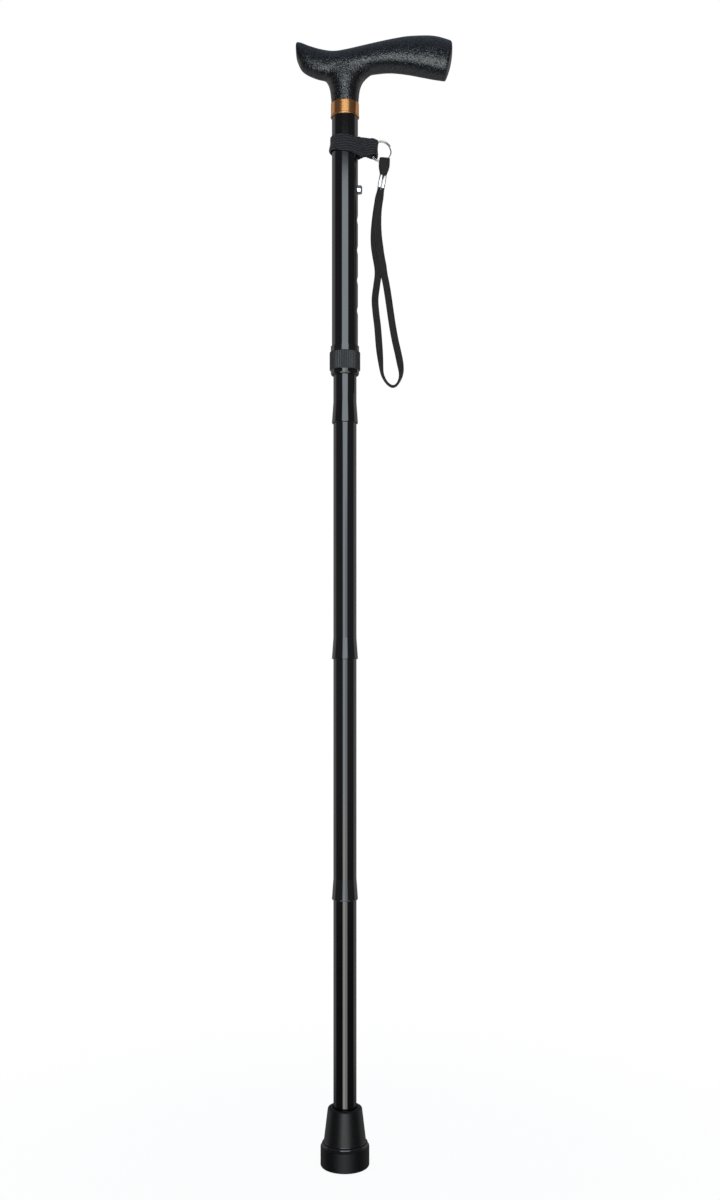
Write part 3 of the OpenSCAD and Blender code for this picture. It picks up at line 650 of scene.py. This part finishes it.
def wrist_loop():
    path = spline([Vector(p) * MM + STRAP_TOP for p in LOOP], LOOP_STEPS)
    gone = np.concatenate([[0], np.cumsum(np.linalg.norm(np.diff(path, axis=0), axis=1))])
    length = gone[-1]
    sides, sections = [], []
    for point, step, here in zip(path, np.gradient(path, axis=0), gone):
        flat = np.cross((0, 1, 0), step)
        flat = flat / np.linalg.norm(flat)
        leg = 0 if here < length / 2 else 1
        twist = math.pi / 2 * smoothstep(TWIST_FROM[leg], TWIST_TO, STRAP_TOP.z - point[2])
        sides.append(flat * math.cos(twist) + np.array((0, 1, 0)) * math.sin(twist))
        spread = smoothstep(0, PINCH_LEN, min(here, length - here))
        width = PINCH_W + (BRAID_W - PINCH_W) * spread
        sections.append(ribbed(width, BRAID_T, BRAID_RIBS, BRAID_RIB_DEPTH))
    obj = built("wrist_loop_braid", loft(swept(path, sides, sections)), BRAID)
    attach(obj, "wrist_strap")
    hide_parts("wrist_loop")
    return obj, path, float(length)


# The crimp: two barrels pressed round the legs of the loop, leaning with the strap
EYE_LEAN = math.radians(5)
CRIMP_LEAN = math.radians(10)
EYE_LEN = 12 * MM
CRIMP_LEN = 11.2 * MM
BARREL_R = 1.55 * MM
BARREL_APART = 1.5 * MM
BARREL_DROP = 0.9 * MM
BARREL_POWER = 2.7
BARREL_DEPTH = 0.85
BARREL_TILT = 0.04
BARREL_SIDES = 28
RIM_R = 0.35 * MM
RIM_STEPS = 5


def leaning(lean, x, y, s):
    """A step along something that leans: across, towards the back, and down."""
    return Vector((x * math.cos(lean) - s * math.sin(lean), y, -s * math.cos(lean) - x * math.sin(lean)))


def on_strap(x, y, s):
    """A point of the leaning strap, from where it hangs."""
    return STRAP_TOP + leaning(EYE_LEAN, x, y, s)


def barrel(x, top):
    """One flattened tube of the crimp, with rounded ends."""
    rounding = np.linspace(0, math.pi / 2, RIM_STEPS)
    end = [(BARREL_R - 2 * RIM_R, 2 * RIM_R)]
    end += [(BARREL_R - RIM_R * (1 - math.sin(a)), RIM_R * (1 - math.cos(a))) for a in rounding]
    profile = end + [(r, CRIMP_LEN - s) for r, s in reversed(end)]
    angles = np.linspace(0, 2 * math.pi, BARREL_SIDES, endpoint=False)
    across = power(np.cos(angles), 2 / BARREL_POWER)
    deep = power(np.sin(angles), 2 / BARREL_POWER) * BARREL_DEPTH
    start = on_strap(0, 0, EYE_LEN)
    rings = []
    for r, s in profile:
        steps = [(x + r * a, r * b + BARREL_TILT * s, top + s) for a, b in zip(across, deep)]
        rings.append([start + leaning(CRIMP_LEAN, *step) for step in steps])
    return loft(rings)


def strap_crimp():
    parts = [barrel(-BARREL_APART, 0), barrel(BARREL_APART, BARREL_DROP)]
    obj = built("strap_crimp_barrels", joined(parts), CRIMP_STEEL)
    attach(obj, "wrist_strap")
    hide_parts("strap_crimp")
    return obj


# The eye: flat braid folded over the ring. Stations give millimetres down the strap, the half gap
# between its two layers, and its width.
EYE = [
    (12.6, 0.75, 5.2), (11.6, 0.9, 5.9), (9.5, 1.5, 6.9), (6.5, 1.95, 8.5), (3.5, 2.1, 9.3),
    (1, 2.0, 9.2), (-0.6, 1.65, 9.0), (-1.6, 0.9, 8.8), (-1.95, 0, 8.7),
]
EYE_T = 1.5 * MM
EYE_RIBS = 7
EYE_RIB_DEPTH = 0.16 * MM
EYE_STEPS = 6


def strap_eye():
    front = [(-gap, s, width) for s, gap, width in EYE]
    back = [(gap, s, width) for s, gap, width in reversed(EYE[:-1])]
    route = spline(front + back, EYE_STEPS) * MM
    path = np.array([on_strap(0, y, s) for y, s, w in route])
    across = np.array(on_strap(1, 0, 0) - STRAP_TOP)
    sections = [ribbed(w, EYE_T, EYE_RIBS, EYE_RIB_DEPTH) for y, s, w in route]
    rings = swept(path, [across] * len(path), sections)
    obj = built("strap_eye_braid", loft(rings), BRAID)
    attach(obj, "wrist_strap")
    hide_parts("strap_eye")
    return obj


# The split ring: one wire in two turns, with the step between the turns at the right
WIRE_R = 0.5 * MM
TURN_APART = 0.55 * MM
TURN_SHIFT = Vector((-0.5, 0, -0.4)) * MM
WIRE_FROM = 25
WIRE_TO = 695
STEP_FROM = 335
STEP_TO = 385
WIRE_RINGS = 221
WIRE_SIDES = 12
WIRE_TIP = 0.55


def split_ring():
    centre = (RING_LOW + RING_HIGH) / 2
    reach = (RING_HIGH.x - RING_LOW.x) / 2 - WIRE_R
    path = []
    for degrees in np.linspace(WIRE_FROM, WIRE_TO, WIRE_RINGS):
        a = math.radians(degrees)
        second = smoothstep(STEP_FROM, STEP_TO, degrees)
        around = Vector((reach * math.cos(a), TURN_APART * (2 * second - 1), reach * math.sin(a)))
        path.append(centre + around + TURN_SHIFT * second)
    path = np.array(path)
    sections = [circle(WIRE_R, WIRE_SIDES)] * len(path)
    sections[0] = sections[-1] = circle(WIRE_R * WIRE_TIP, WIRE_SIDES)
    rings = swept(path, [np.array((0, 1, 0))] * len(path), sections)
    obj = built("split_ring_wire", loft(rings), RING_STEEL)
    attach(obj, "split_ring")
    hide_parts("split_ring")


# The strap band: ribbed webbing round the tube, closed into a tab that holds the ring.
# The tab in plan, in millimetres, from the tube outwards along its back layer.
TAB_PLAN = [(12.6, 4.2), (15.2, 1.75), (17.2, 0.95), (19.2, 1.4), (22, 2.7), (25, 2.7), (26.6, 1.6)]
TAB_TIP = 27
BAND_T = 1.4 * MM
BAND_CLEAR = 0.08 * MM
BAND_RIBS = 10
BAND_RIB_DEPTH = 0.4 * MM
BAND_ROUND = 12
BAND_STEPS = 5
WRAP_FROM = 40
WRAP_STEP = 10
# Middle and half height of the webbing over its reach, in millimetres from the middle of the band
BAND_REACH = [-13, 0, 9, 12.5, 16.5, 27]
BAND_MIDDLE = [2.3, 0.1, -1.1, -0.5, 0.3, -1.7]
BAND_HALF = [5.9, 6.9, 7.1, 7.9, 7.8, 7.6]
BAND_SAG = 1.1 * MM
BAND_WANDER = 0.25 * MM
WANDER_STEPS = (0.9, 0.37)
FRONT_LIFT = 2.2 * MM
LIFT_FROM = 19 * MM
LIFT_TO = 24 * MM
STITCH_X = (15.6, 17.9)
STITCHES = 9
STITCH_SHARE = 0.8
STITCH_MARGIN = 1 * MM
STITCH_RISE = 1.4
STITCH_SINK = 0.9
STITCH_RINGS = 7
THREAD_R = 0.22 * MM
THREAD_SIDES = 8
TAB_FROM = 13 * MM


def band_span(x, y):
    """Lower and upper edge of the webbing at a place in plan."""
    middle = (BAND_LOW + BAND_HIGH) / 2 + np.interp(x / MM, BAND_REACH, BAND_MIDDLE) * MM
    half = np.interp(x / MM, BAND_REACH, BAND_HALF) * MM
    lift = FRONT_LIFT * smoothstep(LIFT_FROM, LIFT_TO, x) if y < 0 else 0
    return middle - half + lift, middle + half


def band_plan():
    """The webbing's middle line in plan, once round."""
    wrap_r = TUBE_R + BAND_CLEAR + BAND_T / 2
    angles = np.radians(np.arange(WRAP_FROM, 360 - WRAP_FROM + 1, WRAP_STEP))
    wrap = [(wrap_r * math.cos(a), wrap_r * math.sin(a)) for a in angles]
    front = [(x * MM, -y * MM) for x, y in TAB_PLAN]
    back = [(x * MM, y * MM) for x, y in reversed(TAB_PLAN)]
    points = wrap + front + [(TAB_TIP * MM, 0)] + back
    around = spline(points[-1:] + points + points[:2], BAND_STEPS)
    return around[BAND_STEPS:-BAND_STEPS]


def strap_band():
    plan = band_plan()
    path, sections = [], []
    for i, (x, y) in enumerate(plan):
        low, high = band_span(x, y)
        wander = BAND_WANDER * math.sin(i * WANDER_STEPS[0]) * math.sin(i * WANDER_STEPS[1])
        path.append((x, y, (low + high) / 2 + wander))
        sag = BAND_SAG * smoothstep(0.2, 1, -x / TUBE_R)
        half = (high - low) / 2
        section = ribbed(2 * half, BAND_T, BAND_RIBS, BAND_RIB_DEPTH, round_power=BAND_ROUND)
        sections.append([(up, out + sag * smoothstep(-0.2, 1, -up / half)) for up, out in section])
    path = np.array(path)
    rings = swept(path, [np.array((0, 0, 1))] * len(path), sections, closed=True)
    obj = built("strap_band_webbing", loft(rings, closed=True), WEBBING)
    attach(obj, "handle_section")
    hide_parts("strap_band")


def stitch(x, face, side, foot, length):
    """One upright stitch that bulges from a face of the tab."""
    path = []
    for t in np.linspace(0, 1, STITCH_RINGS):
        bulge = THREAD_R * (STITCH_RISE * math.sin(math.pi * t) - STITCH_SINK)
        path.append((x, face + side * bulge, foot + length * t))
    across = [np.array((1, 0, 0))] * len(path)
    return loft(swept(np.array(path), across, [circle(THREAD_R, THREAD_SIDES)] * len(path)))


def strap_stitches():
    """Two upright rows of thread through both layers of the tab."""
    plan = band_plan()
    parts = []
    for x in (reach * MM for reach in STITCH_X):
        low, high = band_span(x, 0)
        pitch = (high - low - 2 * STITCH_MARGIN) / STITCHES
        first = low + STITCH_MARGIN + pitch * (1 - STITCH_SHARE) / 2
        for side in (-1, 1):
            layer = plan[(plan[:, 0] > TAB_FROM) & (plan[:, 1] * side > 0)]
            layer = layer[np.argsort(layer[:, 0])]
            face = side * (np.interp(x, layer[:, 0], np.abs(layer[:, 1])) + BAND_T / 2)
            for k in range(STITCHES):
                parts.append(stitch(x, face, side, first + k * pitch, STITCH_SHARE * pitch))
    obj = built("strap_stitches", joined(parts), THREAD)
    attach(obj, "handle_section")


# The handle. Stations along the grip, in millimetres: reach, upper and lower line below the top of
# the handle, and half width.
GRIP = [
    (-41.4, -6.4, -11.4, 2.5), (-40.8, -4.9, -18.2, 4.6), (-39, -4.8, -23.5, 6.2),
    (-36, -5.7, -28.6, 7.8), (-29.9, -8.3, -32.4, 9.6), (-19.9, -11.4, -35.5, 11.2),
    (-9.8, -12.9, -35.8, 12.2), (0, -11.7, -34.4, 12.8), (12.2, -9, -32.2, 13.3),
    (24.9, -6.1, -29.8, 13.7), (38, -3.3, -28.6, 14.2), (52, -0.8, -30, 14.6),
    (66.1, 0, -32.7, 14.75), (74, -0.2, -34.3, 14.6), (80, -1.2, -35.3, 14.3),
    (85, -2.6, -36, 13.9), (92.3, -5, -36.6, 13.3),
]
GRIP_SIDES = 72
GRIP_STEPS = 6
GRIP_POWER = 2.1
RIDGE_SHARE = 0.3
DOME_R = 55 * MM
DOME_DROP = 12 * MM
END_RINGS = 16
NECK_R = 11.4 * MM
NECK_TOP_HALF = 13 * MM
NECK_OVER = 0.15 * MM
NECK_TAPER = 1.5 * MM
NECK_FLARE = 3.7 * MM
NECK_FLARE_ENDS = 1.5
NECK_POWER = 4
NECK_RISE = 20.2 * MM
NECK_TOP = 35 * MM
NECK_RINGS = 50
SPIGOT_GAP = 1.25 * MM
SPIGOT_CHAMFER = 1 * MM
SPIGOT_OVERLAP = 1 * MM
SPIGOT_SIDES = 48
VOXEL = 0.6 * MM
ROUND_STEPS = 6
FILL_STEPS = 75
END_STEPS = 16
END_FROM = 80 * MM
RELAX_SHARE = 0.5


def grip_skin():
    rings = []
    angles = np.linspace(0, 2 * math.pi, GRIP_SIDES, endpoint=False)
    across = power(np.cos(angles), 2 / GRIP_POWER)
    rise = power(np.sin(angles), 2 / GRIP_POWER)
    for x, top, low, half in spline(GRIP, GRIP_STEPS):
        ridge = low + RIDGE_SHARE * (top - low)
        z = ridge + np.where(rise > 0, top - ridge, ridge - low) * rise
        ring = np.column_stack([np.full(GRIP_SIDES, x), half * across, z])
        rings.append(ring * MM + np.array((0, 0, HANDLE_TOP)))
    middle = rings[-1].mean(axis=0)
    rings += [middle + (rings[-1] - middle) * share for share in np.linspace(0.95, 0.05, END_RINGS)]
    for ring in rings:
        off_middle = ring[:, 1] ** 2 + (ring[:, 2] - HANDLE_TOP + DOME_DROP) ** 2
        reach = PALM_REACH - DOME_R + np.sqrt(np.maximum(DOME_R ** 2 - off_middle, 0))
        ring[:, 0] = np.minimum(ring[:, 0], reach)
    return loft(rings)


def neck_skin():
    rings = []
    angles = np.linspace(0, 2 * math.pi, GRIP_SIDES, endpoint=False)
    top, low, grip_half = next(s[1:] for s in GRIP if s[0] == 0)
    ridge = low + RIDGE_SHARE * (top - low)
    for z in np.linspace(0, NECK_TOP, NECK_RINGS):
        share = z / NECK_RISE
        reach = NECK_R + NECK_TAPER * share + NECK_FLARE * min(share, NECK_FLARE_ENDS) ** NECK_POWER
        rise = max((COLLAR_TOP + z - HANDLE_TOP) / MM - ridge, 0) / (top - ridge)
        face = grip_half * MM * (1 - rise ** GRIP_POWER) ** (1 / GRIP_POWER) + NECK_OVER
        half = min(NECK_R + (NECK_TOP_HALF - NECK_R) * min(share, 1), face)
        rings.append(level_ring(reach * np.cos(angles), half * np.sin(angles), COLLAR_TOP + z))
    return loft(rings)


def spigot_skin():
    r = TUBE_R - SPIGOT_GAP
    shoulder, top = SPIGOT_LOW + SPIGOT_CHAMFER, COLLAR_TOP + SPIGOT_OVERLAP
    profile = [(r - SPIGOT_CHAMFER, SPIGOT_LOW), (r, shoulder), (r, top)]
    return loft([[(x, y, z) for x, y in circle(reach, SPIGOT_SIDES)] for reach, z in profile])


def remeshed(mesh, voxel):
    """One even skin over overlapping shells."""
    work = bpy.data.objects.new("work", mesh)
    bpy.context.scene.collection.objects.link(work)
    skin = work.modifiers.new("skin", "REMESH")
    skin.mode = "VOXEL"
    skin.voxel_size = voxel
    result = bpy.data.meshes.new_from_object(work.evaluated_get(bpy.context.evaluated_depsgraph_get()))
    bpy.data.objects.remove(work)
    return result


def relax(mesh, rounds, fill_only=False, beyond=None):
    """Evens the skin out. Only hollows move with fill_only, and only what is beyond a reach, if given."""
    count = len(mesh.vertices)
    spots = np.empty(count * 3)
    mesh.vertices.foreach_get("co", spots)
    spots = spots.reshape(-1, 3)
    ends = np.empty(len(mesh.edges) * 2, int)
    mesh.edges.foreach_get("vertices", ends)
    a, b = ends.reshape(-1, 2).T
    degree = np.bincount(a, minlength=count) + np.bincount(b, minlength=count)
    moves = np.ones(count) if beyond is None else (spots[:, 0] > beyond).astype(float)
    for _ in range(rounds):
        pull = np.column_stack([
            np.bincount(a, spots[b, k], count) + np.bincount(b, spots[a, k], count) for k in range(3)
        ]) / degree[:, None] - spots
        if fill_only:
            mesh.vertices.foreach_set("co", spots.ravel())
            mesh.update()
            normals = np.empty(count * 3)
            mesh.vertices.foreach_get("normal", normals)
            pull = pull * (np.sum(pull * normals.reshape(-1, 3), axis=1) > 0)[:, None]
        spots = spots + RELAX_SHARE * pull * moves[:, None]
    mesh.vertices.foreach_set("co", spots.ravel())
    mesh.update()


def handle():
    rough = mesh_of("grip_shells", *joined([grip_skin(), neck_skin()]))
    mesh = remeshed(rough, VOXEL)
    relax(mesh, FILL_STEPS, fill_only=True)
    relax(mesh, ROUND_STEPS)
    relax(mesh, END_STEPS, beyond=END_FROM)
    work = bmesh.new()
    work.from_mesh(mesh)
    work.from_mesh(mesh_of("spigot", *spigot_skin()))
    work.to_mesh(mesh)
    work.free()
    mesh.polygons.foreach_set("use_smooth", [True] * len(mesh.polygons))
    obj = piece("handle_moulding", mesh, HANDLE_PLASTIC)
    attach(obj, "handle_section")
    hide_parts("handle")


# The elastic cord: four runs between the plugs, knotted at both ends
CORD_SIDES = 16
CORD_STRANDS = 4
STRAND_DEPTH = 0.1 * MM
STRAND_PITCH = 9 * MM
KNOT_R = 3.1 * MM
KNOT_LEN = 6.4 * MM
BEND_HALF = 20 * MM
CORD_STEP = 1.5 * MM
BEND_RINGS = 90
KNOT_RINGS = 40


def cord_run(name, low, high, bend=None, knot=None):
    """A run of twisted cord from low to high, with denser rings where it bends."""
    heights = list(np.arange(low, high, CORD_STEP)) + [high]
    if bend:
        heights = [z for z in heights if not bend[1] < z < bend[0]]
        heights += list(np.linspace(bend[1], bend[0], BEND_RINGS))
    if knot:
        heights += list(np.linspace(max(low, knot - KNOT_LEN), min(high, knot + KNOT_LEN), KNOT_RINGS))
    angles = np.linspace(0, 2 * math.pi, CORD_SIDES, endpoint=False)
    rings = []
    for z in sorted(set(heights)):
        twist = 2 * math.pi * z / STRAND_PITCH
        r = CORD_R - STRAND_DEPTH * (0.5 + 0.5 * np.cos(CORD_STRANDS * (angles - twist)))
        if knot:
            r = r + (KNOT_R - CORD_R) * max(0, 1 - ((z - knot) / (KNOT_LEN / 2)) ** 2) ** 0.5
        rings.append(level_ring(r * np.cos(angles), r * np.sin(angles), z))
    obj = built(name + "_braid", loft(rings), ELASTIC)
    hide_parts(name)
    return obj


def span_of(node):
    low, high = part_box(node)
    return low[2], high[2]


def elastic_cords():
    low, high = span_of("elastic_cord_1")
    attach(cord_run("elastic_cord_1", low, high, knot=high - KNOT_LEN / 2), "inner_section")
    for number, parent in ((2, "inner_section"), (3, "second_section"), (4, "third_section")):
        name = "elastic_cord_%d" % number
        low, high = span_of(name)
        mouth = joints["fold_%d" % (number - 1)]["pos_m"][2]
        bend = (mouth + BEND_HALF, mouth - BEND_HALF)
        run = cord_run(name, low, high, bend, low + KNOT_LEN / 2 if number == 4 else None)
        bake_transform(run)


# The lock ring: rounded ribs over a plain foot. Its profile in millimetres from the middle of its
# underside: radius, height, and how far the ribs are cut there.
RING_PROFILE = [
    (10.05, 0, 0), (11.15, 0, 0), (11.4, 0.15, 0), (11.85, 1.2, 0), (11.95, 1.6, 0), (11.95, 4.1, 0),
    (12.1, 4.25, 0), (12.8, 4.3, 0.7), (12.95, 4.6, 1), (12.95, 5, 1), (12.95, 18.4, 1), (12.95, 18.8, 1),
    (12.8, 19.25, 0.8), (12.5, 19.4, 0), (11.85, 19.4, 0), (11.85, 14.25, 0), (11.1, 14.2, 0),
    (11.1, 1.65, 0), (10.05, 1.6, 0),
]
RIBS = 48
RIB_POINTS = 8
RIB_DEPTH = 0.42 * MM


def lock_ring():
    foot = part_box("lock_ring")[0][2]
    angles = np.linspace(0, 2 * math.pi, RIBS * RIB_POINTS, endpoint=False)
    groove = RIB_DEPTH * (1 - np.abs(np.sin(angles * RIBS / 2)))
    rings = []
    for r, z, cut in RING_PROFILE:
        reach = r * MM - cut * groove
        rings.append(level_ring(reach * np.cos(angles), reach * np.sin(angles), foot + z * MM))
    obj = built("lock_ring_ribs", loft(rings, closed=True), LOCK_PLASTIC)
    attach(obj, "lock_ring")
    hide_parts("lock_ring")


def snap_clip():
    obj = piece("snap_clip_spring", nodes["snap_clip"].data.copy(), BRIGHT_STEEL)
    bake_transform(obj)
    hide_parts("snap_clip")


# Turned pieces
TURNED_SIDES = 96


def turned(profile, foot=0.0):
    """Points and faces of a turned piece. The profile gives radius and height in millimetres."""
    rings = [[(x, y, foot + z * MM) for x, y in circle(r * MM, TURNED_SIDES)] for r, z in profile]
    return loft(rings, closed=True)


# The collar: a sleeve with a raised lip round its lower edge
COLLAR_PROFILE = [
    (11.06, 0.3), (11.25, 0.05), (11.5, 0), (11.8, 0.1), (12.0, 0.3), (12.1, 0.55), (12.08, 0.8),
    (11.95, 1), (11.82, 1.1), (11.8, 1.3), (11.8, 1.6), (11.8, 11.2), (11.8, 11.5), (11.7, 11.8),
    (11.5, 12), (11.25, 12), (11.06, 11.8),
]


def handle_collar():
    shape = turned(COLLAR_PROFILE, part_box("handle_collar")[0][2])
    obj = built("handle_collar_sleeve", shape, BRONZE)
    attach(obj, "handle_section")
    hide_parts("handle_collar")


# Two moulded steps round the foot of the ferrule's taper
STEPS = [
    [(18.6, 17.4), (19.9, 17.55), (19.4, 18), (19.3, 18.2), (19.3, 19.4), (19.15, 19.7), (18.2, 19.9)],
    [(17, 20.2), (17.85, 20.25), (18, 20.4), (17.95, 21), (17.8, 21.25), (17, 21.3)],
]


def ferrule_steps():
    shape = joined([turned(profile) for profile in STEPS])
    obj = built("ferrule_steps", shape, STEP_RUBBER)
    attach(obj, "lower_section")


camera()
loop, loop_path, loop_length = wrist_loop()
crimp = strap_crimp()
eye = strap_eye()
elastic_cords()
lock_ring()
snap_clip()
handle_collar()
ferrule_steps()
split_ring()
strap_band()
strap_stitches()
handle()
dress_nodes()
studio_world()
floor()

bpy.context.scene.view_settings.view_transform = "Standard"
